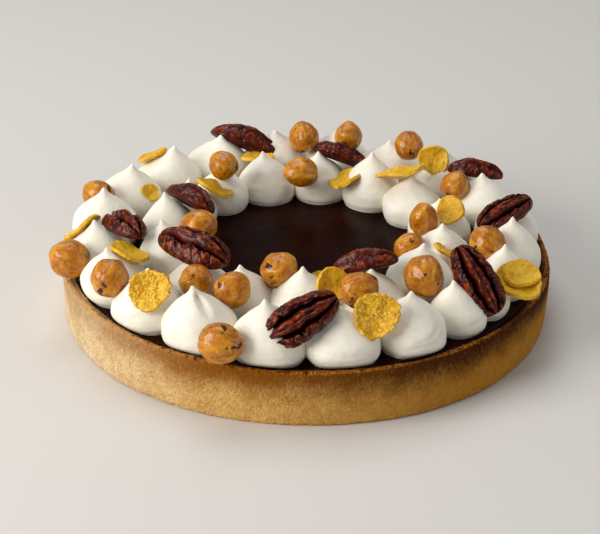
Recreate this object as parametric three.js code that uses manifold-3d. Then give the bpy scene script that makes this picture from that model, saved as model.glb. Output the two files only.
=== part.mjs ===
// A round chocolate tart: a baked crust full of dark chocolate filling, two rings of piped
// cream kisses, and roasted hazelnuts, pecan halves and corn flakes pressed into the cream.
// Millimetres, +Z up. The origin is the middle of the flat underside.
// A bearing is an angle about the tart's axis in degrees: 0 is to the right, -90 to the front.

import * as THREE from 'three';
import { mergeVertices } from 'three/addons/utils/BufferGeometryUtils.js';
import Module from 'manifold-3d';

const wasm = await Module();
wasm.setup();

// Driving dimensions
const GAP = 0.3; // left free between two pieces that touch
const TART_RADIUS = 90;
const CRUST_HEIGHT = 21;
const WALL = 3.6;
const FLOOR = 3;
const EDGE_ROUND = 1.1; // at the foot and at the top of the wall
const LIP_FALL = 1; // how far the lip falls towards the filling
const LIP_WAVE = 0.35; // how far the lip rises and falls round the tart
const WALL_WAVE = 0.25; // how far the wall strays from a true circle
const CRUST_SIDES = 60;
const FILLING_LEVEL = 19.5;
const FILLING_SIDES = 40;

const KISS_SIDES = 11;
const KISS_FOOT = FILLING_LEVEL + GAP;
const FOOT_REACH = TART_RADIUS - WALL - 2 * GAP; // from the axis
const RING_SEAM = 63.1; // the radius where the two rings of kisses meet
const PRESS = 2; // how much wider a kiss is than its share of the ring
// Each kiss: its bearing, its height, and how far its tip is dragged to the right and to the back
const OUTER_KISSES = {
  radius: 75.7,
  kisses: [
    [-98.5, 20.4, -2, 0],
    [-117.5, 20.8, -2.5, 0],
    [-135, 19.5, 0, 1],
    [-152.5, 18, -2.5, 0],
    [-169, 18.6, -2, 0],
    [174, 21, 0, 0],
    [155.5, 20.3, 2, 0],
    [137, 19, 3, 0.5],
    [118.5, 18, 1.5, 0],
    [100, 17, 0, 0],
    [81, 17.5, 0, -1],
    [62.5, 16.5, -2, 0],
    [43, 18, 0, 1],
    [25, 18.5, -1.5, 0],
    [8, 19, 1, 1],
    [-8.5, 21, -0.5, 0],
    [-22, 18.5, 0, 0],
    [-34.5, 19, -1, 1],
    [-46, 17.8, -2.5, 0],
    [-62, 20, -0.3, 0],
    [-80.5, 18.2, -1, 0],
  ],
};
const INNER_KISSES = {
  radius: 50.6,
  kisses: [
    [-91, 20, 0, 0],
    [-114, 18, -2, 0],
    [-137, 14, -4, 0], // its tip is broken off
    [-162, 19.7, -4, 0],
    [173, 20.5, -2.5, 0],
    [152, 18, 0, 0],
    [131, 17, 0, 0],
    [108, 19, -2, 0],
    [84, 18.5, -1, 0],
    [60, 21.5, 0, 0],
    [36, 18.5, -1.5, 0],
    [11, 18, 0, 0],
    [-13, 18, 0, 0],
    [-37, 19.5, 1, 0],
    [-63.5, 17, 0, 0],
  ],
};
// Radius and height of a kiss, as shares of its greatest radius and of its height
const KISS_OUTLINE = [
  [0, 0],
  [0.78, 0],
  [1, 0.2],
  [0.94, 0.41],
  [0.58, 0.66],
  [0.17, 0.86],
  [0, 1],
];

// The point and the scar are shares of half the length, and the lumps a share of half the width
const HAZELNUT = { width: 13.7, length: 14.4, point: 0.1, scar: 0.12, lumps: 0.035, sides: 9, rows: 6 };
// The bluntness is a power: 1 is an oval, and less than 1 has fuller ends
const PECAN = { length: 27, width: 14.8, back: 6.2, belly: 2.6, bluntness: 0.75, sides: 16, rows: 6 };
const PECAN_TAPER = 0.15; // how much narrower the pointed end is, as a share of the width
const PECAN_BEND = 0.8; // how far both ends drop below the middle
const FURROW = { out: 0.38, width: 0.2, depth: 0.3 }; // shares of half the width and of the back
// The cup, the wave and the ragged edge are shares of the radius
const FLAKE = { width: 16, thickness: 1.3, cup: 0.3, wave: 0.1, ragged: 0.07, sides: 10 };

const COLOURS = {
  crust: { color: 0xc08a4c, roughness: 0.85 },
  filling: { color: 0x24120a, roughness: 0.25 },
  cream: { color: 0xf3ece0, roughness: 0.5 },
  hazelnut: { color: 0xb8711f, roughness: 0.45 },
  pecan: { color: 0x3a150d, roughness: 0.4 },
  flake: { color: 0xd9a520, roughness: 0.6 },
};

// Where each topping lies: its distance from the axis, its bearing and the height of its middle.
// A hazelnut's point is turned to the bearing `to`, and `up` degrees above level. A slim one is
// narrower than its size says.
const HAZELNUTS = [
  { from: 88, at: -161, z: 29.5, size: 1.08, to: 200, up: 20 },
  { from: 83, at: -144, z: 33, size: 1.02, to: -90, up: -30 },
  { from: 62, at: -127, z: 32.5, size: 0.88, to: 220, up: 10 },
  { from: 62.5, at: -113.5, z: 33.5, size: 0.97, to: 0, up: 40 },
  { from: 89.5, at: -108, z: 29, size: 1.14, to: -20, up: 0, slim: 0.92 },
  { from: 46, at: -101.5, z: 34.5, size: 0.98, to: 40, up: 30 },
  { from: 60.5, at: -72, z: 34.5, size: 1.0, to: 200, up: 20 },
  { from: 60.5, at: -47.5, z: 33.5, size: 1.1, to: -75, up: -20 },
  { from: 41.5, at: -24, z: 30, size: 0.85, to: 200, up: 0 },
  { from: 43, at: -3, z: 34.2, size: 1.0, to: -90, up: 70, slim: 0.82 },
  { from: 67.5, at: -17, z: 34, size: 1.0, to: -60, up: -10 },
  { from: 64, at: 27.5, z: 33, size: 0.85, to: 30, up: 50 },
  { from: 70, at: 55, z: 37.5, size: 0.88, to: 100, up: 40 },
  { from: 70, at: 76.5, z: 36.5, size: 0.86, to: 90, up: 50 },
  { from: 70, at: 91, z: 34.8, size: 0.93, to: 120, up: 50 },
  { from: 38, at: 93, z: 34, size: 1.02, to: 200, up: 10, slim: 0.88 },
  { from: 46, at: 134, z: 38.5, size: 0.86, to: 150, up: 40 },
  { from: 40.5, at: -167, z: 33, size: 1.0, to: 0, up: 30 },
  { from: 80.5, at: 167, z: 32, size: 0.93, to: 160, up: 30 },
];

// The ridged back of a pecan half faces the bearing `facing`, leaning `tilt` degrees from straight
// up, and `spin` turns its length about that direction, from level, anticlockwise.
const PECANS = [
  { from: 79.5, at: -90.5, z: 35.5, size: 1.0, facing: -90, tilt: 58, spin: 33 },
  { from: 77, at: -40.5, z: 35, size: 1.0, facing: -80, tilt: 52, spin: 114 },
  { from: 44.5, at: -62.5, z: 35, size: 0.9, facing: 140, tilt: 20, spin: 120 },
  { from: 51.3, at: -139.9, z: 36.5, size: 1.13, facing: -90, tilt: 8, spin: 146 },
  { from: 44.5, at: 168, z: 35.5, size: 0.98, facing: 45, tilt: 38, spin: -8 },
  { from: 66.5, at: -168.5, z: 35, size: 0.94, facing: 90, tilt: 10, spin: 120 },
  { from: 75.2, at: 109.7, z: 32.3, size: 1.1, facing: 54, tilt: 33, spin: -149 },
  { from: 55, at: 76.5, z: 34.5, size: 0.88, facing: 54, tilt: 33, spin: -149 },
  { from: 77.8, at: 32.5, z: 34.2, size: 0.82, facing: 60, tilt: 10, spin: 200 },
  { from: 73.5, at: 2.5, z: 35, size: 0.88, facing: -110, tilt: 25, spin: 50 },
];

// A flake's face leans `tilt` degrees from level, towards the bearing `facing`.
const FLAKES = [
  { from: 80.5, at: -130.5, z: 35, size: 0.91, facing: -100, tilt: 58 },
  { from: 69.5, at: -154, z: 33, size: 0.9, facing: 30, tilt: 20 },
  { from: 81.5, at: -173.5, z: 32, size: 0.95, facing: 150, tilt: 45 },
  { from: 65, at: 157, z: 30.5, size: 0.45, facing: -60, tilt: 55 },
  { from: 81.2, at: 139.2, z: 33.3, size: 0.75, facing: 150, tilt: 28 },
  { from: 44.5, at: 142, z: 31.5, size: 0.92, facing: 20, tilt: 25 },
  { from: 60.4, at: 109.2, z: 31.4, size: 0.85, facing: 90, tilt: 12 },
  { from: 43, at: 69.5, z: 30.5, size: 0.9, facing: 170, tilt: 22 },
  { from: 49.5, at: 42.5, z: 36.5, size: 1.2, facing: 120, tilt: 21 },
  { from: 69, at: 44, z: 36, size: 0.75, facing: -90, tilt: 70 },
  { from: 53.5, at: 5, z: 35, size: 0.7, facing: -120, tilt: 50 },
  { from: 54.5, at: -24, z: 31.5, size: 0.6, facing: 20, tilt: 35 },
  { from: 85, at: -29.5, z: 30.5, size: 1.1, facing: -75, tilt: 20 },
  { from: 80, at: -73, z: 35.3, size: 0.97, facing: -85, tilt: 60 },
  { from: 52.5, at: -79.5, z: 33, size: 0.8, facing: -65, tilt: 60 },
  { from: 42.5, at: -83, z: 29, size: 0.58, facing: -60, tilt: 30 },
];

// Helpers
const degrees = THREE.MathUtils.degToRad;

function around(radius, bearing, z) {
  const turn = degrees(bearing);
  return new THREE.Vector3(radius * Math.cos(turn), radius * Math.sin(turn), z);
}

// Moves every corner of a geometry by a function that changes the vector it is given
function reshape(geometry, change) {
  const corners = geometry.getAttribute('position');
  const corner = new THREE.Vector3();
  for (let i = 0; i < corners.count; i += 1) {
    corner.fromBufferAttribute(corners, i);
    change(corner);
    corners.setXYZ(i, corner.x, corner.y, corner.z);
  }
  return geometry;
}

// Joins the corners that coincide and drops the triangles that shrink to a line
function sealed(geometry) {
  geometry.deleteAttribute('normal');
  geometry.deleteAttribute('uv');
  const joined = mergeVertices(geometry, 1e-3);
  const index = joined.getIndex().array;
  const kept = [];
  for (let i = 0; i < index.length; i += 3) {
    const [a, b, c] = [index[i], index[i + 1], index[i + 2]];
    if (a !== b && b !== c && c !== a) kept.push(a, b, c);
  }
  joined.setIndex(kept);
  return joined;
}

function toSolid(geometry) {
  const vertProperties = new Float32Array(geometry.getAttribute('position').array);
  const triVerts = new Uint32Array(geometry.getIndex().array);
  return new wasm.Manifold(new wasm.Mesh({ numProp: 3, vertProperties, triVerts }));
}

function fromSolid(solid) {
  const mesh = solid.getMesh();
  const geometry = new THREE.BufferGeometry();
  geometry.setAttribute('position', new THREE.BufferAttribute(mesh.vertProperties, 3));
  geometry.setIndex(new THREE.BufferAttribute(mesh.triVerts, 1));
  return geometry;
}

// A body turned about the Z axis from its outline, [radius, height] pairs in millimetres
function turned(outline, sides) {
  const points = outline.map(([radius, height]) => new THREE.Vector2(radius, height));
  const geometry = new THREE.LatheGeometry(points, sides);
  geometry.rotateX(Math.PI / 2);
  return sealed(geometry);
}

// The crust: a straight wall with a slightly uneven lip, and a flat floor
function crustGeometry() {
  const inside = TART_RADIUS - WALL;
  const outline = [
    [0, 0],
    [TART_RADIUS - EDGE_ROUND, 0],
    [TART_RADIUS, EDGE_ROUND],
    [TART_RADIUS, CRUST_HEIGHT / 2],
    [TART_RADIUS, CRUST_HEIGHT - EDGE_ROUND],
    [TART_RADIUS - EDGE_ROUND, CRUST_HEIGHT],
    [TART_RADIUS - WALL / 2, CRUST_HEIGHT],
    [inside, CRUST_HEIGHT - LIP_FALL],
    [inside, FLOOR],
    [0, FLOOR],
  ];
  return reshape(turned(outline, CRUST_SIDES), (corner) => {
    const turn = Math.atan2(corner.y, corner.x);
    const outOfTrue = WALL_WAVE * Math.sin(5 * turn + corner.z / 7);
    const grow = 1 + outOfTrue / TART_RADIUS;
    if (Math.hypot(corner.x, corner.y) > inside + GAP && corner.z > 0) {
      corner.x *= grow;
      corner.y *= grow;
    }
    if (corner.z > FILLING_LEVEL) corner.z += LIP_WAVE * Math.sin(7 * turn) * Math.cos(5 * turn);
  });
}

// The filling: one disc of set chocolate that fills the crust
function fillingGeometry() {
  const radius = TART_RADIUS - WALL - GAP;
  const outline = [
    [0, FLOOR + GAP],
    [radius, FLOOR + GAP],
    [radius, FILLING_LEVEL],
    [0, FILLING_LEVEL],
  ];
  return turned(outline, FILLING_SIDES);
}

// A kiss is as wide as its share of the ring, halfway to each neighbour, and presses into both
function kissWidth({ radius, kisses }, count) {
  const before = kisses.at(count - 1)[0];
  const after = kisses[(count + 1) % kisses.length][0];
  const share = THREE.MathUtils.euclideanModulo(before - after, 360) / 2;
  return radius * degrees(share) + PRESS;
}

// One kiss of cream: a round foot that narrows to a small tip, dragged a little to one side.
// It stays between the radii `keep`, and its foot stays inside the crust.
function kissGeometry(ring, count, keep) {
  const radius = kissWidth(ring, count) / 2;
  const [bearing, height, dragRight, dragBack] = ring.kisses[count];
  const outline = KISS_OUTLINE.map(([share, level]) => [share * radius, level * height]);
  const spot = around(ring.radius, bearing, KISS_FOOT);
  return reshape(turned(outline, KISS_SIDES), (corner) => {
    const rise = corner.z / height;
    corner.x += dragRight * rise ** 2;
    corner.y += dragBack * rise ** 2;
    corner.add(spot);
    const most = corner.z < CRUST_HEIGHT ? Math.min(keep.most, FOOT_REACH) : keep.most;
    const out = Math.hypot(corner.x, corner.y);
    const held = THREE.MathUtils.clamp(out, keep.least, most) / out;
    corner.x *= held;
    corner.y *= held;
  });
}

// All kisses of one ring pressed together, with a pocket for each topping
function creamGeometry(ring, keep, pockets) {
  let cream = null;
  for (let count = 0; count < ring.kisses.length; count += 1) {
    const kiss = toSolid(kissGeometry(ring, count, keep));
    cream = cream ? cream.add(kiss) : kiss;
  }
  for (const pocket of pockets) cream = cream.subtract(pocket);
  const scraps = cream.decompose().sort((one, other) => other.volume() - one.volume());
  return fromSolid(scraps[0]);
}

// A hazelnut: nearly a ball, with a blunt point and a flat scar at the other end
function hazelnutGeometry(nut, count, grow) {
  const length = (HAZELNUT.length * nut.size) / 2 + grow;
  const width = (HAZELNUT.width * nut.size * (nut.slim ?? 1)) / 2 + grow;
  const ball = sealed(new THREE.SphereGeometry(1, HAZELNUT.sides, HAZELNUT.rows));
  const aim = new THREE.Matrix4().makeRotationZ(degrees(nut.to));
  aim.multiply(new THREE.Matrix4().makeRotationY(-degrees(nut.up)));
  reshape(ball, (corner) => {
    const end = corner.y;
    const side = Math.atan2(corner.z, corner.x);
    const point = HAZELNUT.point * Math.max(0, end) ** 3;
    const scar = HAZELNUT.scar * Math.max(0, -end) ** 4;
    const lumpy = 1 + HAZELNUT.lumps * (Math.sin(3 * side + count) + 0.5 * Math.sin(5 * side - count));
    const reach = end * (1 + point - scar);
    corner.set(reach * length, corner.z * width * lumpy, corner.x * width * lumpy);
    corner.applyMatrix4(aim);
    corner.add(around(nut.from, nut.at, nut.z));
  });
  return ball;
}

// Turns +Z to the bearing `facing`, leaning `tilt` from straight up, after a turn `spin` about it
function facingMatrix({ facing, tilt, spin = 0 }) {
  const matrix = new THREE.Matrix4().makeRotationZ(degrees(facing));
  matrix.multiply(new THREE.Matrix4().makeRotationY(degrees(tilt)));
  matrix.multiply(new THREE.Matrix4().makeRotationZ(degrees(spin + 90)));
  return matrix;
}

// A pecan half: a long dome with two deep furrows along its back, and a nearly flat belly
function pecanGeometry(nut, count, grow) {
  const length = (PECAN.length * nut.size) / 2 + grow;
  const width = (PECAN.width * nut.size) / 2 + grow;
  const back = PECAN.back * nut.size + grow;
  const belly = PECAN.belly * nut.size + grow;
  const body = sealed(new THREE.SphereGeometry(1, PECAN.sides, PECAN.rows));
  const aim = facingMatrix(nut);
  reshape(body, (corner) => {
    const along = corner.y;
    const across = Math.hypot(corner.x, corner.z);
    const side = Math.atan2(corner.z, corner.x);
    const full = across ** PECAN.bluntness;
    const fromFurrow = (Math.abs(Math.cos(side)) - FURROW.out) / FURROW.width;
    const furrow = FURROW.depth * Math.exp(-(fromFurrow ** 2));
    const height = Math.sin(side) > 0 ? back * (1 - furrow) : belly;
    corner.x = along * length;
    corner.y = -Math.cos(side) * full * width * (1 - PECAN_TAPER * along);
    corner.z = Math.sin(side) * full * height - PECAN_BEND * along ** 2;
    corner.applyMatrix4(aim);
    corner.add(around(nut.from, nut.at, nut.z));
  });
  return body;
}

// A corn flake: a thin, cupped and wavy solid. Both faces are the same ring of triangles, and a
// narrow wall joins their edges.
function flakeGeometry(flake, count, grow) {
  const radius = (FLAKE.width * flake.size) / 2 + grow;
  const half = FLAKE.thickness / 2 + grow;
  const face = sealed(new THREE.RingGeometry(0, 1, FLAKE.sides, 2));
  const corners = face.getAttribute('position');
  const total = corners.count;
  const places = [];
  const edge = [];
  for (let i = 0; i < total; i += 1) {
    const reach = Math.hypot(corners.getX(i), corners.getY(i));
    const turn = Math.atan2(corners.getY(i), corners.getX(i));
    const ragged = Math.sin(2 * turn + count) + Math.sin(3 * turn + 2 * count);
    const out = reach * radius * (1 + FLAKE.ragged * ragged);
    const cup = radius * FLAKE.cup * (reach ** 2 - 0.5);
    const wave = radius * FLAKE.wave * reach * Math.sin(3 * turn + 1.7 * count);
    places.push(new THREE.Vector3(out * Math.cos(turn), out * Math.sin(turn), cup + wave));
    if (reach > 0.99) edge.push({ i, turn });
  }
  edge.sort((one, other) => one.turn - other.turn);
  const top = Array.from(face.getIndex().array);
  const triangles = [...top];
  for (let i = 0; i < top.length; i += 3) {
    triangles.push(top[i] + total, top[i + 2] + total, top[i + 1] + total);
  }
  for (let k = 0; k < edge.length; k += 1) {
    const a = edge[k].i;
    const b = edge[(k + 1) % edge.length].i;
    triangles.push(a + total, b + total, b, a + total, b, a);
  }
  const aim = facingMatrix(flake);
  const spot = around(flake.from, flake.at, flake.z);
  const positions = [half, -half].flatMap((lift) => places.flatMap((place) => {
    const corner = place.clone();
    corner.z += lift;
    return corner.applyMatrix4(aim).add(spot).toArray();
  }));
  const geometry = new THREE.BufferGeometry();
  geometry.setAttribute('position', new THREE.Float32BufferAttribute(positions, 3));
  geometry.setIndex(triangles);
  return geometry;
}

// The tart, put together
const tart = new THREE.Group();

function place(name, geometry, look) {
  const material = new THREE.MeshStandardMaterial({ ...COLOURS[look], metalness: 0 });
  const mesh = new THREE.Mesh(geometry, material);
  mesh.name = name;
  tart.add(mesh);
}

const toppings = [
  { look: 'hazelnut', places: HAZELNUTS, shape: hazelnutGeometry },
  { look: 'pecan', places: PECANS, shape: pecanGeometry },
  { look: 'flake', places: FLAKES, shape: flakeGeometry },
];
const pockets = toppings.flatMap(({ places, shape }) =>
  places.map((topping, count) => toSolid(shape(topping, count, GAP))),
);

place('crust', crustGeometry(), 'crust');
place('filling', fillingGeometry(), 'filling');
const outside = { least: RING_SEAM + GAP / 2, most: Infinity };
const inside = { least: 0, most: RING_SEAM - GAP / 2 };
place('cream_outer_ring', creamGeometry(OUTER_KISSES, outside, pockets), 'cream');
place('cream_inner_ring', creamGeometry(INNER_KISSES, inside, pockets), 'cream');
for (const { look, places, shape } of toppings) {
  places.forEach((topping, count) => {
    place(`${look}_${String(count + 1).padStart(2, '0')}`, shape(topping, count, 0), look);
  });
}

export default tart;
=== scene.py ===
"""A round chocolate tart: a baked crust, dark chocolate, two rings of cream kisses, nuts and corn flakes.

Sizes are in millimetres and angles in degrees, as in the part's source. A bearing is an angle about the
tart's axis: 0 is to the right and -90 to the front. Each mesh is made in millimetres and finished in metres.
"""

import math

import bmesh
import bpy
from mathutils import Matrix, Vector, noise


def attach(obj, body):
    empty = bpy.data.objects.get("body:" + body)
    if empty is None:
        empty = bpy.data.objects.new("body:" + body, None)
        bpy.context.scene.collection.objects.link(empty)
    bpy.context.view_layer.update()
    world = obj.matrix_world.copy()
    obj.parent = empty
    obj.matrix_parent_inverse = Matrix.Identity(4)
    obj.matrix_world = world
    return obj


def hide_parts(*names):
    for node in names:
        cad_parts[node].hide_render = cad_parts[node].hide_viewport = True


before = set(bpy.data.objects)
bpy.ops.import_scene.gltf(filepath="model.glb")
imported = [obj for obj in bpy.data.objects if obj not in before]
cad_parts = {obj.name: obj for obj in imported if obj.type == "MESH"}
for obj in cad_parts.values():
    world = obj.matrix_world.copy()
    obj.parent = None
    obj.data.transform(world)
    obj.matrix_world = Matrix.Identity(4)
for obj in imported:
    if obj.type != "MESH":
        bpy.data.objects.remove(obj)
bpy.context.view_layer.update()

MM = 0.001

# The crust and the filling
TART_RADIUS = 90
CRUST_HEIGHT = 21
WALL = 3.6
FLOOR = 3
EDGE_ROUND = 1.1
LIP_FALL = 1  # how much lower the lip is at its inner side
LIP_WAVE = 0.35
WALL_WAVE = 0.25
# How far each kind of relief moves the surface of the crust
CRUST_RELIEF = {
    "swell": 0.22,
    "shrink": 0.2,
    "grain": 0.13,
    "fine grain": 0.08,
    "crumbs": 0.5,
    "lumps": 0.25,
    "nicks": 0.5,
    "pits": 0.4,
}
CRUMB = 0.45  # the size of the crust's quads
FILLING_LEVEL = 19.5
FILLING_RADIUS = TART_RADIUS - WALL - 0.05
FILLING_WAVE = 0.07
FILLING_EDGE = {"rise": 0.3, "width": 1.5}

# The kisses of cream
KISS_SIDES = 64
KISS_STEPS = 8  # between two points of the outline
KISS_SINK = 0.4  # how deep a foot settles into the filling
FOOT_REACH = TART_RADIUS - WALL - 1.8  # how far out the cream comes at its foot
LEAN_OUT = 4.8  # how much further out it comes over the lip
LEAN_HEIGHT = 2.6  # how quickly it leans out
SOFTNESS = 2.6  # how gently the side of a kiss bends where it meets the crust
PRESS = 2  # how much two neighbours press into each other
KISS_RELIEF = {"uneven": 0.07, "ripples": 0.16, "wrinkles": 0.1}
# The outline of a kiss, from the middle of its foot to its tip, in shares of its radius and height
KISS_OUTLINE = [
    (0, 0),
    (0.8, 0),
    (0.93, 0.05),
    (1, 0.18),
    (0.94, 0.41),
    (0.59, 0.66),
    (0.19, 0.86),
    (0.05, 0.97),
    (0, 1),
]
# Each kiss's bearing, height, and how far its tip is dragged to the right and to the back
OUTER_KISSES = {
    "radius": 75.7,
    "kisses": [
        (-98.5, 20.4, -2, 0),
        (-117.5, 20.8, -2.5, 0),
        (-135, 19.5, 0, 1),
        (-152.5, 18, -2.5, 0),
        (-169, 18.6, -2, 0),
        (174, 21, 0, 0),
        (155.5, 20.3, 2, 0),
        (137, 19, 3, 0.5),
        (118.5, 18, 1.5, 0),
        (100, 17, 0, 0),
        (81, 17.5, 0, -1),
        (62.5, 16.5, -2, 0),
        (43, 18, 0, 1),
        (25, 18.5, -1.5, 0),
        (8, 19, 1, 1),
        (-8.5, 21, -0.5, 0),
        (-22, 18.5, 0, 0),
        (-34.5, 19, -1, 1),
        (-46, 17.8, -2.5, 0),
        (-62, 20, -0.3, 0),
        (-80.5, 18.2, -1, 0),
    ],
}
INNER_KISSES = {
    "radius": 50.6,
    "kisses": [
        (-91, 20, 0, 0),
        (-114, 18, -2, 0),
        (-137, 14, -4, 0),
        (-162, 19.7, -4, 0),
        (173, 20.5, -2.5, 0),
        (152, 18, 0, 0),
        (131, 17, 0, 0),
        (108, 19, -2, 0),
        (84, 18.5, -1, 0),
        (60, 21.5, 0, 0),
        (36, 18.5, -1.5, 0),
        (11, 18, 0, 0),
        (-13, 18, 0, 0),
        (-37, 19.5, 1, 0),
        (-63.5, 17, 0, 0),
    ],
}

# Dents in a kiss: its bearing, the side and level of the dent, its width, height and depth
DENTS = [
    (-117.5, -56, 0.76, 1.7, 2.5, 2.7),
    (-98.5, -80, 0.35, 0.5, 0.5, 0.5),
    (-98.5, -60, 0.2, 0.4, 0.4, 0.4),
    (-46, -75, 0.55, 0.6, 0.5, 0.4),
]
FOLD_WIDTH = 0.55
# Folds across a kiss: its bearing, the fold's middle and level, how far it reaches, its slope and depth
FOLDS = [
    (-62, -50, 0.44, 26, 1.8, 0.75),
    (-62, -60, 0.3, 34, 1.4, 0.63),
    (-62, -75, 0.5, 22, -1.0, 0.5),
    (-80.5, -85, 0.34, 40, -0.8, 0.5),
    (-80.5, -70, 0.2, 35, 0.6, 0.44),
    (-98.5, -95, 0.2, 30, 0.5, 0.44),
    (-46, -60, 0.3, 30, 1.2, 0.5),
    (-34.5, -80, 0.35, 30, 0.9, 0.44),
    (-117.5, -120, 0.34, 28, 1.2, 0.31),
    (-135, -95, 0.38, 26, 1.6, 0.38),
    (-152.5, -100, 0.3, 35, -0.9, 0.38),
]

HAZELNUT = {
    "width": 13.7,
    "length": 14.4,
    "share": 0.94,
    "point": 0.1,
    "scar": 0.12,
    "lumps": 0.03,
    "flats": 0.06,
    "dimples": 0.02,
    "veins": 0.03,
}
# Each one's distance from the axis, bearing, height, size, where its point turns, how far up, and slimness
HAZELNUTS = [
    (88, -161, 29.5, 1.08, 200, 20, 1),
    (83, -144, 33, 1.02, -90, -30, 1),
    (62, -127, 32.5, 0.88, 220, 10, 1),
    (62.5, -113.5, 33.5, 0.97, 0, 40, 1),
    (89.5, -108, 29, 1.14, -20, 0, 0.92),
    (46, -101.5, 34.5, 0.98, 40, 30, 1),
    (60.5, -72, 34.5, 1.0, 200, 20, 1),
    (60.5, -47.5, 33.5, 1.1, -75, -20, 1),
    (41.5, -24, 30, 0.85, 200, 0, 1),
    (43, -3, 34.2, 1.0, -90, 70, 0.82),
    (67.5, -17, 34, 1.0, -60, -10, 1),
    (64, 27.5, 33, 0.85, 30, 50, 1),
    (70, 55, 37.5, 0.88, 100, 40, 1),
    (70, 76.5, 36.5, 0.86, 90, 50, 1),
    (70, 91, 34.8, 0.93, 120, 50, 1),
    (38, 93, 34, 1.02, 200, 10, 0.88),
    (46, 134, 38.5, 0.86, 150, 40, 1),
    (40.5, -167, 33, 1.0, 0, 30, 1),
    (80.5, 167, 32, 0.93, 160, 30, 1),
]

PECAN = {
    "length": 26.6,
    "width": 14.8,
    "back": 6.2,
    "belly": 2.6,
    "bluntness": 0.75,
    "taper": 0.15,
    "bend": 0.8,
    "furrows": 0.68,
    "middle": 0.15,
    "wrinkles": 0.26,
    "crags": 0.1,
    "notch": 0.2,
    "bulk": 0.94,
    "lumps": 0.14,
    "edge": 0.95,
}
# Each one's distance from the axis, bearing, height, size, and how its back faces, tilts and spins
PECANS = [
    (79.5, -90.5, 35.5, 1.0, -90, 58, 33),
    (77, -40.5, 35, 1.0, -80, 52, 114),
    (44.5, -62.5, 35, 0.9, 140, 20, 120),
    (51.3, -139.9, 36.5, 1.13, -90, 8, 146),
    (44.5, 168, 35.5, 0.98, 45, 38, -8),
    (66.5, -168.5, 35, 0.94, 90, 10, 120),
    (75.2, 109.7, 32.3, 1.1, 54, 33, -149),
    (55, 76.5, 34.5, 0.88, 54, 33, -149),
    (77.8, 32.5, 34.2, 0.82, 60, 10, 200),
    (73.5, 2.5, 35, 0.88, -110, 25, 50),
]
BLUNT_PECANS = {1, 2}  # their ends are fuller
# How far the two ends of a half are drawn to a point
SHARP_ENDS = {4: (0.35, 0.1), 5: (0.15, 0.15), 7: (0.3, 0.3)}

FLAKE = {"width": 16, "thickness": 1.2, "cup": 0.22, "wave": 0.06, "ragged": 0.05}
# Each one's distance from the axis, bearing, height, size, and how its face turns and tilts
FLAKES = [
    (80.5, -130.5, 35, 0.91, -100, 58),
    (69.5, -154, 33, 0.9, 30, 20),
    (81.5, -173.5, 32, 0.95, 150, 45),
    (65, 157, 30.5, 0.45, -60, 55),
    (81.2, 139.2, 33.3, 0.75, 150, 28),
    (44.5, 142, 31.5, 0.92, 20, 25),
    (60.4, 109.2, 31.4, 0.85, 90, 12),
    (43, 69.5, 30.5, 0.9, 170, 22),
    (49.5, 42.5, 36.5, 1.2, 120, 21),
    (69, 44, 36, 0.75, -90, 70),
    (53.5, 5, 35, 0.7, -120, 50),
    (54.5, -24, 31.5, 0.6, 20, 35),
    (85, -29.5, 30.5, 1.1, -75, 20),
    (80, -73, 35.3, 0.97, -85, 60),
    (52.5, -79.5, 33, 0.8, -65, 60),
    (42.5, -83, 29, 0.58, -60, 30),
]
CRUMBLY_FLAKES = {1, 14}  # they show their crumbly side
CRUMBLY_SIDE = {"rings": 28, "sides": 130, "nicked": 0.1, "blistered": 0.5}
PLAIN_SIDE = {"rings": 18, "sides": 76, "nicked": 0.04, "blistered": 0.28}
# A second layer on a flake: its size as a share of the flake, and its shift
SECOND_LAYERS = {13: (0.74, (1.4, 1.9, 1.25))}

# The camera: its place, how far it turns to the left and down, and its roll
CAMERA_PLACE = Vector((0, -561.8, 307.1)) * MM
CAMERA_LEFT = 0.21
CAMERA_DOWN = 27.66
CAMERA_ROLL = 0.85
LENS = 101.8
SENSOR_WIDTH = 36

STUDIO_COLOUR = (0.93, 0.96, 1, 1)
STUDIO_STRENGTH = 0.25


def around(radius, bearing, z):
    """The point at a distance from the axis, a bearing and a height."""
    turn = math.radians(bearing)
    return Vector((radius * math.cos(turn), radius * math.sin(turn), z))


def ease(value, low, high):
    """Rises smoothly from 0 at low to 1 at high."""
    share = min(1, max(0, (value - low) / (high - low)))
    return share * share * (3 - 2 * share)


def smooth_line(points, steps):
    """A smooth line through the points, with that many steps between each two."""
    ends = [points[0], *points, points[-1]]
    line = []
    for before, start, end, after in zip(ends, ends[1:], ends[2:], ends[3:]):
        for t in [step / steps for step in range(steps)]:
            line.append([
                b + t * ((c - a) + t * (2 * a - 5 * b + 4 * c - d + t * (3 * b - a - 3 * c + d))) / 2
                for a, b, c, d in zip(before, start, end, after)
            ])
    return [*line, points[-1]]


def straight_line(corners, step):
    """The corners and the points between them, about a step apart."""
    line = []
    for start, end in zip(corners, corners[1:]):
        count = max(1, round(math.dist(start, end) / step))
        for share in [i / count for i in range(count)]:
            line.append([a + share * (b - a) for a, b in zip(start, end)])
    return [*line, corners[-1]]


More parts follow.
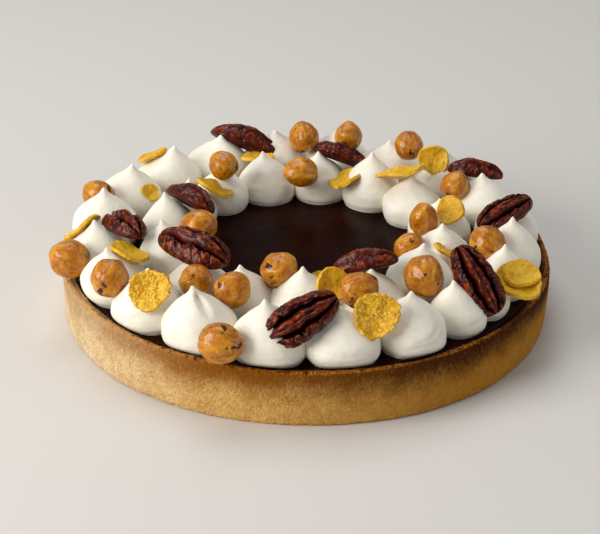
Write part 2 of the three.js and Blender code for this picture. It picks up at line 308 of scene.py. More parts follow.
def turned(outline, steps, parts=1):
    """A body turned about the Z axis from its outline of radius and height, in that many equal parts."""
    bm = bmesh.new()
    line = [bm.verts.new((radius, 0, height)) for radius, height in outline]
    edges = [bm.edges.new(pair) for pair in zip(line, line[1:])]
    about = {"cent": (0, 0, 0), "axis": (0, 0, 1)}
    share = math.tau / parts
    line_steps = steps // parts
    bmesh.ops.spin(bm, geom=line + edges, angle=share, steps=line_steps, use_merge=parts == 1, **about)
    if parts > 1:
        part = bm.verts[:] + bm.edges[:] + bm.faces[:]
        rest = math.tau - share
        bmesh.ops.spin(bm, geom=part, angle=rest, steps=parts - 1, use_duplicate=True, **about)
    bmesh.ops.remove_doubles(bm, verts=bm.verts, dist=1e-4)
    bmesh.ops.recalc_face_normals(bm, faces=bm.faces)
    return bm


def add_piece(bm, name, material, node, crease=40):
    """Adds the piece that takes a node's place: smooth, but for the edges sharper than the crease."""
    bmesh.ops.recalc_face_normals(bm, faces=bm.faces)
    bmesh.ops.scale(bm, vec=(MM, MM, MM), verts=bm.verts)
    for face in bm.faces:
        face.smooth = True
    for edge in bm.edges:
        edge.smooth = edge.calc_face_angle(0) < math.radians(crease)
    mesh = bpy.data.meshes.new(name)
    bm.to_mesh(mesh)
    bm.free()
    mesh.materials.append(material)
    piece = bpy.data.objects.new(name, mesh)
    bpy.context.scene.collection.objects.link(piece)
    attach(piece, "root")
    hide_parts(node)


def facing_matrix(facing, tilt, spin):
    """Turns +Z to the bearing it faces, leaning from straight up, after a turn about it."""
    turn = Matrix.Rotation(math.radians(facing), 3, "Z")
    lean = Matrix.Rotation(math.radians(tilt), 3, "Y")
    return turn @ lean @ Matrix.Rotation(math.radians(spin + 90), 3, "Z")


# Materials


def linear(red, green, blue):
    """A colour as the eye sees it, 0 to 255, turned into the shader's own values."""
    return [*((value / 255) ** 2.2 for value in (red, green, blue)), 1]


class Shader:
    """Adds nodes to a node tree. An input is a plain value or another node's output."""

    def __init__(self, tree):
        self.tree = tree

    def add(self, kind, inputs, **settings):
        """A node of a kind, with its settings and inputs."""
        node = self.tree.nodes.new("ShaderNode" + kind)
        for name, value in settings.items():
            setattr(node, name, value)
        for name, value in inputs.items():
            if isinstance(value, bpy.types.NodeSocket):
                self.tree.links.new(value, node.inputs[name])
            else:
                node.inputs[name].default_value = value
        return node

    def group(self, tree, inputs):
        """The output of a node group with these inputs."""
        return self.add("Group", inputs, node_tree=tree).outputs[0]

    def math(self, operation, first, second):
        """The result of an operation on two values."""
        return self.add("Math", {0: first, 1: second}, operation=operation).outputs[0]

    def mix(self, amount, first, second):
        """The first colour, with an amount of the second over it."""
        return self.add("Mix", {0: amount, 6: first, 7: second}, data_type="RGBA").outputs[2]

    def spread(self, value, low, high, start=0.0, end=1.0):
        """Goes smoothly from start to end while the value goes from low to high."""
        inputs = {"Value": value, "From Min": low, "From Max": high, "To Min": start, "To Max": end}
        return self.add("MapRange", inputs, interpolation_type="SMOOTHSTEP").outputs[0]

    def feed(self, socket, value):
        """Leads a node's output into a socket."""
        self.tree.links.new(value, socket)

    def own_mm(self):
        """The object's own coordinates in millimetres."""
        coords = self.add("TexCoord", {}).outputs["Object"]
        return self.add("Mapping", {"Vector": coords, "Scale": (1 / MM,) * 3}).outputs[0]

    def attribute(self, name, output):
        """What the mesh keeps under a name."""
        return self.add("Attribute", {}, attribute_name=name).outputs[output]


def new_group(name, inputs, output):
    """A node group with named inputs and one output, its shader, and its sockets inside."""
    tree = bpy.data.node_groups.new(name, "ShaderNodeTree")
    for label, value in inputs.items():
        kind = "NodeSocketVector" if value is None else "NodeSocketFloat"
        socket = tree.interface.new_socket(name=label, in_out="INPUT", socket_type=kind)
        if value is not None:
            socket.default_value = value
    tree.interface.new_socket(name=output, in_out="OUTPUT", socket_type="NodeSocketFloat")
    given = tree.nodes.new("NodeGroupInput").outputs
    result = tree.nodes.new("NodeGroupOutput").inputs
    return tree, Shader(tree), given, result


def mottle_group():
    """Soft uneven patches: 0 below Low and 1 above High of a noise."""
    inputs = {"Vector": None, "Scale": 1, "Low": 0.4, "High": 0.6}
    tree, shader, given, result = new_group("Mottle", inputs, "Amount")
    cloud = shader.add(
        "TexNoise", {"Vector": given["Vector"], "Scale": given["Scale"], "Detail": 4.0, "Roughness": 0.6}
    )
    amount = shader.spread(cloud.outputs["Fac"], given["Low"], given["High"])
    shader.feed(result["Amount"], amount)
    return tree


def specks_group():
    """Small round specks, in a share of the cells of a Voronoi pattern."""
    inputs = {"Vector": None, "Scale": 1, "Size": 0.3, "Share": 0.5}
    tree, shader, given, result = new_group("Specks", inputs, "Amount")
    cells = shader.add("TexVoronoi", {"Vector": given["Vector"], "Scale": given["Scale"]})
    edge = shader.math("MULTIPLY", given["Size"], 0.5)
    spot = shader.spread(cells.outputs["Distance"], edge, given["Size"], 1.0, 0.0)
    lot = shader.add("SeparateColor", {"Color": cells.outputs["Color"]}).outputs[0]
    chosen = shader.math("LESS_THAN", lot, given["Share"])
    shader.feed(result["Amount"], shader.math("MULTIPLY", spot, chosen))
    return tree


def relief_group():
    """A height from a coarse and a fine noise."""
    inputs = {"Vector": None, "Coarse": 1, "Fine": 4, "Fine share": 0.4}
    tree, shader, given, result = new_group("Relief", inputs, "Height")
    coarse = shader.add("TexNoise", {"Vector": given["Vector"], "Scale": given["Coarse"], "Detail": 3.0})
    fine = shader.add("TexNoise", {"Vector": given["Vector"], "Scale": given["Fine"], "Detail": 4.0})
    share = shader.math("MULTIPLY", fine.outputs["Fac"], given["Fine share"])
    shader.feed(result["Height"], shader.math("ADD", coarse.outputs["Fac"], share))
    return tree


MOTTLE = mottle_group()
SPECKS = specks_group()
RELIEF = relief_group()


def new_material(name, **settings):
    """A material, its shader, and the sockets of its Principled BSDF, which gets the plain settings."""
    material = bpy.data.materials.new(name)
    material.use_nodes = True
    surface = material.node_tree.nodes["Principled BSDF"]
    for label, value in settings.items():
        surface.inputs[label.replace("_", " ")].default_value = value
    return material, Shader(material.node_tree), surface.inputs


def bump(shader, surface, height, depth):
    """Raises the surface by a height times a depth in millimetres."""
    node = shader.add("Bump", {"Height": height, "Distance": depth * MM})
    shader.feed(surface["Normal"], node.outputs[0])


def crust_material():
    """Sandy baked pastry, browner towards the lip, which is smeared dark; paler on the left and darker to
    the right, partly from baking and partly painted light and shade.
    """
    material, shader, surface = new_material("baked_crust", Specular_IOR_Level=0.08)
    mm = shader.own_mm()
    place = shader.add("SeparateXYZ", {0: mm}).outputs
    upright = shader.add("Mapping", {"Vector": mm, "Scale": (1.0, 1.0, 0.5)}).outputs[0]
    level = shader.add("VectorMath", {0: mm, 1: (1.0, 1.0, 0.0)}, operation="MULTIPLY").outputs[0]
    from_axis = shader.add("VectorMath", {0: level}, operation="LENGTH").outputs["Value"]
    blotches = shader.group(MOTTLE, {"Vector": mm, "Scale": 0.09, "Low": 0.35, "High": 0.68})
    grain = shader.group(MOTTLE, {"Vector": mm, "Scale": 1.5, "Low": 0.38, "High": 0.62})
    streaks = shader.group(MOTTLE, {"Vector": upright, "Scale": 1.3, "Low": 0.36, "High": 0.64})
    # The crust is paler on the left and browner and darker to the right: partly uneven baking, partly
    # painted light on the left and painted shade on the right.
    fade_from_lit_left = shader.spread(place[0], -88.0, -20.0)
    toward_shaded_right = shader.spread(place[0], -30.0, 60.0)
    sand = shader.mix(fade_from_lit_left, linear(255, 230, 184), linear(240, 192, 114))
    sand = shader.mix(toward_shaded_right, sand, linear(206, 144, 56))
    sand = shader.mix(shader.math("MULTIPLY", blotches, 0.28), sand, linear(186, 124, 40))
    clots = shader.group(MOTTLE, {"Vector": mm, "Scale": 0.45, "Low": 0.42, "High": 0.62})
    sand = shader.mix(shader.math("MULTIPLY", clots, 0.22), sand, linear(160, 104, 34))
    sand = shader.mix(shader.math("MULTIPLY", grain, 0.3), sand, linear(150, 92, 24))
    risen = shader.math("ADD", place[2], shader.math("MULTIPLY", blotches, 3.0))
    risen = shader.math("ADD", risen, shader.math("MULTIPLY", streaks, 2.2))
    # Less browning on the left, which goes with the painted light there.
    browning_less_on_lit_left = shader.spread(place[0], -86.0, -25.0, 0.35, 0.97)
    browned = shader.math("MULTIPLY", shader.spread(risen, 8.0, 22.0), browning_less_on_lit_left)
    # The browned band under the lip darkens to the right: painted shade.
    band_shaded_right = shader.mix(toward_shaded_right, linear(140, 82, 14), linear(66, 28, 2))
    sand = shader.mix(browned, sand, band_shaded_right)
    pale = shader.group(SPECKS, {"Vector": mm, "Scale": 0.8, "Size": 0.34, "Share": 0.22})
    sand = shader.mix(shader.math("MULTIPLY", pale, 0.14), sand, linear(240, 196, 120))
    dark = shader.group(SPECKS, {"Vector": mm, "Scale": 1.1, "Size": 0.36, "Share": 0.3})
    sand = shader.mix(shader.math("MULTIPLY", dark, 0.35), sand, linear(92, 46, 6))
    lip = shader.spread(place[2], 19.9, 20.6)
    lip_colour = shader.mix(grain, linear(206, 132, 40), linear(122, 62, 8))
    # The lip is pale on the left: painted light.
    lip_colour = shader.mix(fade_from_lit_left, linear(222, 170, 104), lip_colour)
    sand = shader.mix(shader.math("MULTIPLY", lip, 0.8), sand, lip_colour)
    inner = shader.spread(from_axis, 88.8, 87.4, 0.0, 0.75)
    patches = shader.group(MOTTLE, {"Vector": mm, "Scale": 0.4, "Low": 0.5, "High": 0.64})
    smears = shader.math("MAXIMUM", patches, inner)
    smears = shader.math("MULTIPLY", smears, shader.spread(place[0], -86.0, -25.0, 0.4, 1.0))
    sand = shader.mix(shader.math("MULTIPLY", smears, lip), sand, linear(50, 22, 5))
    shader.feed(surface["Base Color"], sand)
    shader.feed(surface["Roughness"], shader.math("SUBTRACT", 0.8, shader.math("MULTIPLY", lip, 0.4)))
    height = shader.group(RELIEF, {"Vector": mm, "Coarse": 1.3, "Fine": 4.0, "Fine share": 0.6})
    bump(shader, surface, height, 0.8)
    return material


def filling_material():
    """Set dark chocolate, nearly black, with a soft gloss."""
    material, shader, surface = new_material("dark_chocolate", Specular_IOR_Level=0.035)
    mm = shader.own_mm()
    clouds = shader.group(MOTTLE, {"Vector": mm, "Scale": 0.05, "Low": 0.3, "High": 0.7})
    colour = shader.mix(clouds, linear(24, 6, 2), linear(42, 16, 6))
    shader.feed(surface["Base Color"], colour)
    streaks = shader.group(MOTTLE, {"Vector": mm, "Scale": 0.08, "Low": 0.3, "High": 0.75})
    shader.feed(surface["Roughness"], shader.spread(streaks, 0.0, 1.0, 0.26, 0.36))
    waves = shader.group(RELIEF, {"Vector": mm, "Coarse": 0.1, "Fine": 0.5, "Fine share": 0.05})
    bump(shader, surface, waves, 0.15)
    return material


def cream_material():
    """Smooth piped cream: ivory white, soft, with a faint sheen."""
    material, shader, surface = new_material(
        "piped_cream",
        Roughness=0.45,
        Specular_IOR_Level=0.35,
        Subsurface_Weight=0.3,
        Subsurface_Radius=(1.0, 0.7, 0.4),
        Subsurface_Scale=0.0012,
    )
    mm = shader.own_mm()
    clouds = shader.group(MOTTLE, {"Vector": mm, "Scale": 0.16, "Low": 0.3, "High": 0.7})
    colour = shader.mix(clouds, linear(244, 239, 225), linear(238, 231, 213))
    shader.feed(surface["Base Color"], colour)
    pits = shader.group(SPECKS, {"Vector": mm, "Scale": 0.4, "Size": 0.1, "Share": 0.3})
    waves = shader.group(RELIEF, {"Vector": mm, "Coarse": 0.35, "Fine": 1.6, "Fine share": 0.12})
    bump(shader, surface, shader.math("SUBTRACT", waves, shader.math("MULTIPLY", pits, 0.4)), 0.3)
    return material


def hazelnut_material():
    """Roasted hazelnut under a thin glaze: amber, streaked along its length, with scraps of dark skin."""
    material, shader, surface = new_material(
        "roasted_hazelnut", Roughness=0.4, Coat_Weight=0.55, Coat_Roughness=0.05, Specular_IOR_Level=0.2
    )
    mm = shader.own_mm()
    own = shader.attribute("own", "Vector")
    along = shader.add("SeparateXYZ", {0: own}).outputs[1]
    lengthwise = shader.add("Mapping", {"Vector": own, "Scale": (4.0, 1.3, 4.0)}).outputs[0]
    patches = shader.group(MOTTLE, {"Vector": mm, "Scale": 0.24, "Low": 0.35, "High": 0.64})
    streaks = shader.group(MOTTLE, {"Vector": lengthwise, "Scale": 1.2, "Low": 0.4, "High": 0.64})
    colour = shader.mix(patches, linear(216, 148, 34), linear(178, 104, 8))
    colour = shader.mix(shader.math("MULTIPLY", streaks, 0.35), colour, linear(160, 88, 10))
    sunk = shader.attribute("sunk", "Fac")
    colour = shader.mix(shader.math("MULTIPLY", sunk, 0.6), colour, linear(134, 66, 6))
    at_scar = shader.spread(along, -0.25, -0.8)
    torn = shader.group(MOTTLE, {"Vector": mm, "Scale": 0.3, "Low": 0.53, "High": 0.58})
    skin = shader.math("MULTIPLY", torn, at_scar)
    scraps = shader.group(MOTTLE, {"Vector": mm, "Scale": 0.17, "Low": 0.63, "High": 0.66})
    spots = shader.group(SPECKS, {"Vector": mm, "Scale": 0.26, "Size": 0.22, "Share": 0.18})
    skin = shader.math("MAXIMUM", skin, scraps)
    skin = shader.math("MAXIMUM", skin, shader.math("MULTIPLY", spots, 0.85))
    colour = shader.mix(skin, colour, linear(58, 24, 9))
    shader.feed(surface["Base Color"], colour)
    height = shader.group(RELIEF, {"Vector": mm, "Coarse": 0.5, "Fine": 1.8, "Fine share": 0.35})
    bump(shader, surface, height, 0.65)
    return material


def pecan_material():
    """Roasted pecan under a glaze: dark red brown, with painted light on the crests and painted shade,
    nearly black, in the furrows.
    """
    material, shader, surface = new_material(
        "roasted_pecan", Roughness=0.34, Coat_Weight=0.16, Coat_Roughness=0.08, Specular_IOR_Level=0.16
    )
    mm = shader.own_mm()
    raised = shader.attribute("raised", "Fac")
    patches = shader.group(MOTTLE, {"Vector": mm, "Scale": 0.25, "Low": 0.35, "High": 0.65})
    fine = shader.group(MOTTLE, {"Vector": mm, "Scale": 0.55, "Low": 0.46, "High": 0.7})
    colour = shader.mix(patches, linear(86, 24, 7), linear(50, 10, 3))
    # Lighter orange on the raised crests: painted light.
    crest_light = shader.math("MULTIPLY", shader.spread(raised, 0.6, 1.0), fine)
    colour = shader.mix(shader.math("MULTIPLY", crest_light, 0.75), colour, linear(180, 80, 20))
    # Nearly black where the surface is low, in the furrows: painted shade.
    colour = shader.mix(shader.spread(raised, 0.7, 0.2), colour, linear(16, 4, 2))
    shader.feed(surface["Base Color"], colour)
    height = shader.group(RELIEF, {"Vector": mm, "Coarse": 0.6, "Fine": 2.0, "Fine share": 0.25})
    bump(shader, surface, height, 0.3)
    return material


def flake_material():
    """Toasted corn flake: golden yellow with browner blisters and small pale grains."""
    material, shader, surface = new_material(
        "toasted_flake",
        Roughness=0.4,
        Specular_IOR_Level=0.35,
        Subsurface_Weight=0.15,
        Subsurface_Scale=0.001,
    )
    mm = shader.own_mm()
    raised = shader.attribute("raised", "Fac")
    patches = shader.group(MOTTLE, {"Vector": mm, "Scale": 0.3, "Low": 0.35, "High": 0.68})
    colour = shader.mix(patches, linear(232, 186, 44), linear(218, 160, 18))
    toast = shader.group(MOTTLE, {"Vector": mm, "Scale": 0.5, "Low": 0.56, "High": 0.72})
    colour = shader.mix(shader.math("MULTIPLY", toast, 0.6), colour, linear(176, 98, 8))
    colour = shader.mix(shader.spread(raised, 0.55, 0.9, 0.0, 0.75), colour, linear(252, 220, 120))
    colour = shader.mix(shader.spread(raised, 0.4, 0.0, 0.0, 0.6), colour, linear(200, 118, 4))
    shader.feed(surface["Base Color"], colour)
    height = shader.group(RELIEF, {"Vector": mm, "Coarse": 1.0, "Fine": 3.2, "Fine share": 0.4})
    bump(shader, surface, height, 0.3)
    return material


# The pieces


def make_crust(material):
    """The straight wall and lip, with sandy relief, over a flat floor."""
    inside = TART_RADIUS - WALL
    bevel = EDGE_ROUND * 0.3
    outline = straight_line(
        [
            (TART_RADIUS - EDGE_ROUND, 0),
            (TART_RADIUS - bevel, bevel),
            (TART_RADIUS, EDGE_ROUND),
            (TART_RADIUS, CRUST_HEIGHT - EDGE_ROUND),
            (TART_RADIUS - bevel, CRUST_HEIGHT - bevel),
            (TART_RADIUS - EDGE_ROUND, CRUST_HEIGHT),
            (TART_RADIUS - WALL / 2, CRUST_HEIGHT),
            (inside, CRUST_HEIGHT - LIP_FALL),
            (inside, FILLING_LEVEL - 1),
        ],
        CRUMB,
    )
    outline = [(0, 0), *outline, (inside, FLOOR), (0, FLOOR)]
    parts = 16
    bm = turned(outline, round(TART_RADIUS * math.tau / CRUMB / parts) * parts, parts)
    bm.normal_update()
    relief = CRUST_RELIEF
    wall_middle = TART_RADIUS - 2
    aside = Vector((9, 0, 0))
    for vert in bm.verts:
        place = vert.co.copy()
        from_axis = place.xy.length
        hidden = place.z < FILLING_LEVEL - 2 and from_axis < wall_middle
        if hidden or place.z <= 0 or from_axis < inside - 0.1:
            continue
        turn = math.atan2(place.y, place.x)
        near_lip = ease(place.z, CRUST_HEIGHT - 2.5, CRUST_HEIGHT)
        near_foot = ease(place.z, 1.6, 0)
        swell = relief["swell"] * noise.noise(place / 14) - relief["shrink"]
        grain = relief["grain"] * noise.noise(place / 1.3) + relief["fine grain"] * noise.noise(place / 0.7)
        crumbs = relief["crumbs"] * abs(noise.noise(place / 1.6 + aside))
        crumbs += relief["lumps"] * (noise.noise(place / 3.5) - 1)
        nicks = relief["nicks"] * ease(noise.noise(place / 2.2 - aside), 0.15, 0.4)
        distances, cells = noise.voronoi(place / 3.1)
        pit = relief["pits"] * ease(distances[0], 0.3, 0.05) * (noise.cell(cells[0] * 7) > 0.72)
        out = WALL_WAVE * math.sin(5 * turn + place.z / 7) * ease(from_axis, inside, wall_middle)
        vert.co += vert.normal * (swell + grain + near_lip * crumbs - near_foot * nicks - pit)
        vert.co += place.xy.to_3d().normalized() * out
        if place.z > FILLING_LEVEL:
            vert.co.z += LIP_WAVE * math.sin(7 * turn) * math.cos(5 * turn)
        vert.co.z = max(vert.co.z, 0.02)
    add_piece(bm, "baked_crust", material, "crust", crease=60)


def make_filling(material):
    """The disc of set chocolate: level, with faint waves, and risen a little at its edge."""
    corners = [(FILLING_RADIUS, FLOOR + 0.3), (FILLING_RADIUS, FILLING_LEVEL), (0, FILLING_LEVEL)]
    outline = [(0, FLOOR + 0.3), corners[0], *straight_line(corners[1:], 1.5)]
    bm = turned(outline, 240)
    for vert in bm.verts:
        if vert.co.z > FILLING_LEVEL - 0.01:
            at_edge = ease(vert.co.xy.length, FILLING_RADIUS - FILLING_EDGE["width"], FILLING_RADIUS)
            vert.co.z += FILLING_WAVE * noise.noise(vert.co / 22) + FILLING_EDGE["rise"] * at_edge
    add_piece(bm, "chocolate_filling", material, "filling")


def kiss_width(ring, count):
    """A kiss is as wide as its share of the ring, halfway to each neighbour, and presses into both."""
    kisses = ring["kisses"]
    before = kisses[count - 1][0]
    after = kisses[(count + 1) % len(kisses)][0]
    share = (before - after) % 360 / 2
    return ring["radius"] * math.radians(share) + PRESS


def smooth_least(first, second, softness):
    """The lesser of two values, with a soft bend where they meet."""
    near = max(0, softness - abs(first - second)) / softness
    return min(first, second) - near * near * softness / 4


def kiss_dent(bearing, height, place):
    """How deep the surface of a kiss is pressed in at a place by its dents and folds."""
    depth = 0
    side = math.degrees(math.atan2(place.y, place.x))
    reach = place.xy.length
    for kiss, middle, level, width, tall, deep in DENTS:
        if kiss == bearing:
            aside = math.radians((side - middle + 180) % 360 - 180) * reach / width
            above = (place.z - level * height) / tall
            depth += deep * math.exp(-((aside**2 + above**2) ** 2))
    for kiss, middle, level, spread, slope, deep in FOLDS:
        if kiss == bearing:
            aside = ((side - middle + 180) % 360 - 180) / spread
            above = place.z - level * height - slope * aside - 0.5 * noise.noise(place / 2.5)
            depth += deep * math.exp(-((above / FOLD_WIDTH) ** 2) - aside**2)
    return depth


def kiss_mesh(ring, count):
    """One kiss: a round foot and a full belly that narrows to a small tip, dragged a little to one side."""
    bearing, height, drag_right, drag_back = ring["kisses"][count]
    radius = kiss_width(ring, count) / 2
    outline = smooth_line(KISS_OUTLINE, KISS_STEPS)
    bm = turned([(share * radius, level * height) for share, level in outline], KISS_SIDES)
    spot = around(ring["radius"], bearing, FILLING_LEVEL)
    seed = Vector((bearing, ring["radius"], height))
    for vert in bm.verts:
        place = vert.co.copy()
        rise = place.z / height
        out = place.xy.length
        if out > 0.01:
            lifted = Vector((place.x, place.y, place.z + 4))
            squat = Vector((place.x / 7, place.y / 7, place.z / 1.1))
            uneven = KISS_RELIEF["uneven"] * noise.noise(lifted / radius * 1.1 + seed) * out
            ripple = KISS_RELIEF["ripples"] * noise.noise(place / 4 + seed)
            wrinkle = KISS_RELIEF["wrinkles"] * noise.noise(squat + seed)
            change = uneven + min(1, out / 3) * (ripple + wrinkle) - kiss_dent(bearing, height, place)
            vert.co.xy *= max(0.05, 1 + change / out)
        vert.co.x += drag_right * max(0, rise) ** 2
        vert.co.y += drag_back * max(0, rise) ** 2
        vert.co.z = place.z * (1 + KISS_SINK / height) - KISS_SINK
        vert.co += spot
        far = vert.co.xy.length
        above_foot = vert.co.z - FILLING_LEVEL + KISS_SINK
        most = FOOT_REACH + LEAN_OUT * (1 - math.exp(-above_foot / LEAN_HEIGHT))
        vert.co.xy *= smooth_least(far, most, SOFTNESS) / far
    mesh = bpy.data.meshes.new("kiss")
    bm.to_mesh(mesh)
    bm.free()
    return mesh


def make_cream_ring(ring, name, node, material):
    """All kisses of one ring, joined where they press together."""
    together = bpy.data.collections.new(name)
    meshes = [kiss_mesh(ring, count) for count in range(len(ring["kisses"]))]
    kisses = [bpy.data.objects.new("kiss", mesh) for mesh in meshes]
    for kiss in kisses[1:]:
        together.objects.link(kiss)
    bpy.context.scene.collection.children.link(together)
    bpy.context.scene.collection.objects.link(kisses[0])
    union = kisses[0].modifiers.new("union", "BOOLEAN")
    union.operation = "UNION"
    union.solver = "MANIFOLD"
    union.operand_type = "COLLECTION"
    union.collection = together
    bpy.context.view_layer.update()
    joined = kisses[0].evaluated_get(bpy.context.evaluated_depsgraph_get()).to_mesh()
    bm = bmesh.new()
    bm.from_mesh(joined)
    for kiss in kisses:
        bpy.data.objects.remove(kiss)
    bpy.data.collections.remove(together)
    bmesh.ops.dissolve_degenerate(bm, edges=bm.edges, dist=1e-4)
    add_piece(bm, name, material, node, crease=35)


def make_hazelnut(number, nut, material):
    """Nearly a ball, with a blunt point, a flat scar at the other end, and veins and flats along it."""
    distance, bearing, height, size, to, up, slim = nut
    length = HAZELNUT["length"] * size / 2
    width = HAZELNUT["width"] * size * slim / 2
    count = number - 1
    aim = Matrix.Rotation(math.radians(to), 3, "Z") @ Matrix.Rotation(-math.radians(up), 3, "Y")
    spot = around(distance, bearing, height)
    seed = Vector((number * 3, 0, 0))
    bm = bmesh.new()
    bmesh.ops.create_uvsphere(bm, u_segments=60, v_segments=40, radius=1)
    own = bm.verts.layers.float_vector.new("own")
    sunk = bm.verts.layers.float.new("sunk")
    for vert in bm.verts:
        x, z, end = vert.co
        vert[own] = (x + number, end, z)
        side = math.atan2(z, x)
        point = HAZELNUT["point"] * max(0, end) ** 3
        scar = HAZELNUT["scar"] * max(0, -end) ** 4
        lumps = math.sin(3 * side + count) + 0.5 * math.sin(5 * side - count)
        wide = width * (1 + HAZELNUT["lumps"] * lumps)
        lengthwise = Vector((2.3 * math.cos(side), 2.3 * math.sin(side), 0.5 * end)) + seed
        vein = ease(abs(noise.noise(lengthwise)), 0.11, 0.0) * ease(abs(end), 1, 0.8)
        vert[sunk] = vein
        flats = HAZELNUT["flats"] * noise.noise(Vector((x, end, z)) * 1.7 + seed)
        dimples = HAZELNUT["dimples"] * noise.noise(vert.co * 4 + seed)
        grown = HAZELNUT["share"] + flats + dimples - HAZELNUT["veins"] * vein
        long = length * (1 + point - scar)
        vert.co = aim @ (Vector((end * long, z * wide, x * wide)) * grown) + spot
    name = f"hazelnut_{number:02d}"
    add_piece(bm, "roasted_" + name, material, name, crease=80)


def make_pecan(number, nut, material):
    """A long half: a ridge between two deep furrows along its back, and a wrinkled lobe on each side."""
    distance, bearing, height, size, facing, tilt, spin = nut
    length = PECAN["length"] * size / 2
    width = PECAN["width"] * size / 2
    back = PECAN["back"] * size
    belly = PECAN["belly"] * size
    bluntness = PECAN["bluntness"] - (0.15 if number in BLUNT_PECANS else 0)
    sharp_ends = SHARP_ENDS.get(number, (0, 0))
    aim = facing_matrix(facing, tilt, spin)
    spot = around(distance, bearing, height)
    bm = bmesh.new()
    bmesh.ops.create_uvsphere(bm, u_segments=120, v_segments=88, radius=1)
    raised = bm.verts.layers.float.new("raised")
    seed = Vector((number * 5.3, 0, 0))
    for vert in bm.verts:
        x, z, along = vert.co
        across = math.hypot(x, z)
        side = math.atan2(z, x)
        full = across ** (bluntness + (0.1 + sharp_ends[along > 0]) * along**2)
        half = math.copysign(3, x)
        out = abs(math.cos(side) + 0.08 * noise.noise(Vector((along * 2.2, 0, 0)) + seed))
        from_furrow = out - 0.4 + 0.08 * along**2
        from_furrow += 0.06 * noise.noise(Vector((along * 4, half, 1)) + seed)
        furrow = math.exp(-((from_furrow / 0.11) ** 2))
        middle = math.exp(-((out / 0.05) ** 2)) * ease(along, 0.7, 0.2)
        on_lobe = ease(out, 0.42, 0.56)
        fold = abs(noise.noise(Vector((along * 4.2 + out, out * 1.6, half)) + seed))
        crag = abs(noise.noise(Vector((along * 8, out * 4, half)) + seed))
        wrinkle = on_lobe * (1 - ease(fold, 0, 0.22))
        crag = on_lobe * (1 - ease(crag, 0, 0.25))
        lowered = PECAN["furrows"] * furrow + PECAN["middle"] * middle
        lowered += PECAN["wrinkles"] * wrinkle + PECAN["crags"] * crag
        lumps = PECAN["bulk"] + PECAN["lumps"] * noise.noise(Vector((along * 2.6, out * 2, z)) + seed)
        lumps += 0.05 * noise.noise(Vector((along * 9, out * 6, half)) + seed)
        top = z > 0
        rise = back * (1 - min(0.8, lowered)) * lumps if top else belly
        vert[raised] = 1 - min(1, 1.4 * lowered) if top else 0.6
        edge = PECAN["edge"] + 0.07 * noise.noise(Vector((along * 4, half, 0)) + seed)
        edge += 0.035 * noise.noise(Vector((along * 12, half, 0)) + seed)
        notch = 1 - PECAN["notch"] * furrow * ease(abs(along), 0.72, 1)
        end = along * length * notch
        wide = -math.cos(side) * full * width * (1 - PECAN["taper"] * along) * edge
        high = math.sin(side) * full * rise - PECAN["bend"] * along**2
        vert.co = aim @ Vector((end, wide, high)) + spot
    add_piece(bm, f"pecan_half_{number:02d}", material, f"pecan_{number:02d}", crease=85)


def flake_layer(radius, count, crumbly):
    """One layer of a flake in its own place: thin, cupped, wavy and blistered, with a ragged edge."""
    seed = Vector((count * 4.1, 0, 0))
    kind = CRUMBLY_SIDE if crumbly else PLAIN_SIDE
    bm = turned(straight_line([(0, 0), (1, 0)], 1 / kind["rings"]), kind["sides"])
    for vert in bm.verts:
        reach = vert.co.xy.length
        turn = math.atan2(vert.co.y, vert.co.x)
        rim = Vector((math.cos(turn), math.sin(turn), 0))
        ragged = math.sin(2 * turn + count) + math.sin(3 * turn + 2 * count)
        nicks = kind["nicked"] * (noise.noise(rim * 4 + seed) + 0.6 * noise.noise(rim * 10 + seed))
        out = reach * radius * (1 + FLAKE["ragged"] * ragged + nicks * reach**2)
        cup = radius * FLAKE["cup"] * (reach**2 - 0.5)
        wave = radius * FLAKE["wave"] * reach * math.sin(3 * turn + 1.7 * count)
        blister = kind["blistered"] * noise.noise(rim * out / 2.6 + seed)
        vert.co = rim * out + Vector((0, 0, cup + wave + blister - FLAKE["thickness"] / 2))
    bmesh.ops.recalc_face_normals(bm, faces=bm.faces)
    bmesh.ops.solidify(bm, geom=bm.faces[:], thickness=FLAKE["thickness"])
    bmesh.ops.recalc_face_normals(bm, faces=bm.faces)
    bm.normal_update()
    raised = bm.verts.layers.float.new("raised")
    for vert in bm.verts:
        if crumbly:
            distances, cells = noise.voronoi(vert.co / 0.95 + seed)
            grain = 1.1 - 2.2 * distances[0] + 0.7 * noise.noise(vert.co / 0.5)
            vert[raised] = 0.45 + 0.5 * grain
            vert.co += vert.normal * 0.27 * grain
        else:
            grain = noise.noise(vert.co / 0.75 + seed) + 0.6 * noise.noise(vert.co / 0.4 + seed)
            vert[raised] = 0.5 + 0.25 * grain
            vert.co += vert.normal * 0.14 * grain
    return bm


def make_flake(number, flake, material):
    """A corn flake, of two layers where the table says so."""
    distance, bearing, height, size, facing, tilt = flake
    radius = FLAKE["width"] * size / 2
    crumbly = number in CRUMBLY_FLAKES
    bm = flake_layer(radius, number - 1, crumbly)
    if number in SECOND_LAYERS:
        share, shift = SECOND_LAYERS[number]
        upper = flake_layer(radius * share, number + 1, crumbly)
        bmesh.ops.translate(upper, vec=shift, verts=upper.verts)
        mesh = bpy.data.meshes.new("upper")
        upper.to_mesh(mesh)
        upper.free()
        bm.from_mesh(mesh)
        bpy.data.meshes.remove(mesh)
    bmesh.ops.rotate(bm, cent=(0, 0, 0), matrix=facing_matrix(facing, tilt, 0), verts=bm.verts)
    bmesh.ops.translate(bm, vec=around(distance, bearing, height), verts=bm.verts)
    name = f"flake_{number:02d}"
    add_piece(bm, "corn_" + name, material, name, crease=80)


# Floor, light and camera


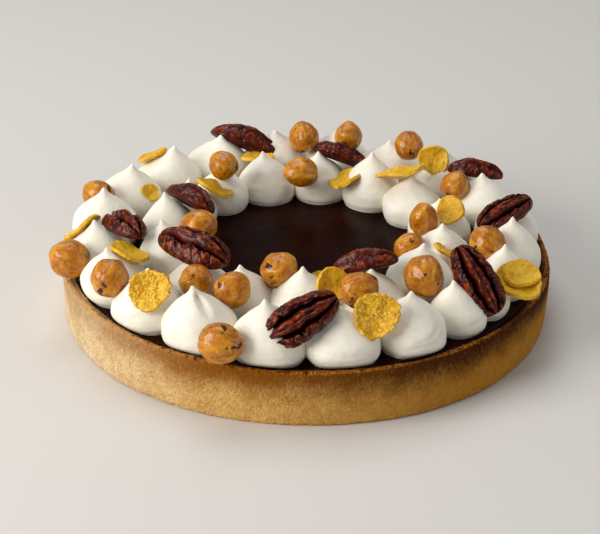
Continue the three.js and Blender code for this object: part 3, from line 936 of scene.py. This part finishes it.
def make_floor():
    """A plain pale floor."""
    bm = bmesh.new()
    bmesh.ops.create_grid(bm, x_segments=1, y_segments=1, size=4)
    mesh = bpy.data.meshes.new("floor")
    bm.to_mesh(mesh)
    bm.free()
    material, _, surface = new_material("pale_floor", Roughness=0.7)
    surface["Base Color"].default_value = linear(214, 210, 204)
    mesh.materials.append(material)
    floor = bpy.data.objects.new("floor", mesh)
    bpy.context.scene.collection.objects.link(floor)


def make_light(name, place, size, power, colour=(1, 1, 1)):
    """A soft square light that looks at the tart."""
    light = bpy.data.lights.new(name, "AREA")
    light.size = size
    light.energy = power
    light.color = colour
    lamp = bpy.data.objects.new(name, light)
    lamp.location = place
    lamp.rotation_euler = (-Vector(place)).to_track_quat("-Z", "Y").to_euler()
    bpy.context.scene.collection.objects.link(lamp)


def make_world():
    """The even light of a studio."""
    world = bpy.data.worlds.new("studio")
    world.use_nodes = True
    background = world.node_tree.nodes["Background"]
    background.inputs["Color"].default_value = STUDIO_COLOUR
    background.inputs["Strength"].default_value = STUDIO_STRENGTH
    bpy.context.scene.world = world


def make_camera():
    """The camera, in front of the tart and above it."""
    camera = bpy.data.cameras.new("camera")
    camera.sensor_width = SENSOR_WIDTH
    camera.lens = LENS
    stand = bpy.data.objects.new("camera", camera)
    aim = Matrix.Rotation(math.radians(CAMERA_LEFT), 4, "Z")
    aim @= Matrix.Rotation(math.radians(90 - CAMERA_DOWN), 4, "X")
    aim @= Matrix.Rotation(math.radians(CAMERA_ROLL), 4, "Z")
    stand.matrix_world = Matrix.Translation(CAMERA_PLACE) @ aim
    bpy.context.scene.collection.objects.link(stand)
    bpy.context.scene.camera = stand


make_camera()
make_world()
make_light("key", place=(-0.78, -0.42, 0.44), size=0.6, power=9.2, colour=(1, 0.97, 0.93))
make_light("side", place=(0.95, -0.3, 0.42), size=0.6, power=1.6)
make_light("top", place=(-0.15, 0.35, 0.95), size=0.7, power=4.4)
make_floor()
bpy.context.scene.view_settings.view_transform = "Standard"

make_crust(crust_material())
make_filling(filling_material())
cream = cream_material()
make_cream_ring(OUTER_KISSES, "outer_kisses", "cream_outer_ring", cream)
make_cream_ring(INNER_KISSES, "inner_kisses", "cream_inner_ring", cream)
for make, places, material in [
    (make_hazelnut, HAZELNUTS, hazelnut_material()),
    (make_pecan, PECANS, pecan_material()),
    (make_flake, FLAKES, flake_material()),
]:
    for number, place in enumerate(places, 1):
        make(number, place, material)
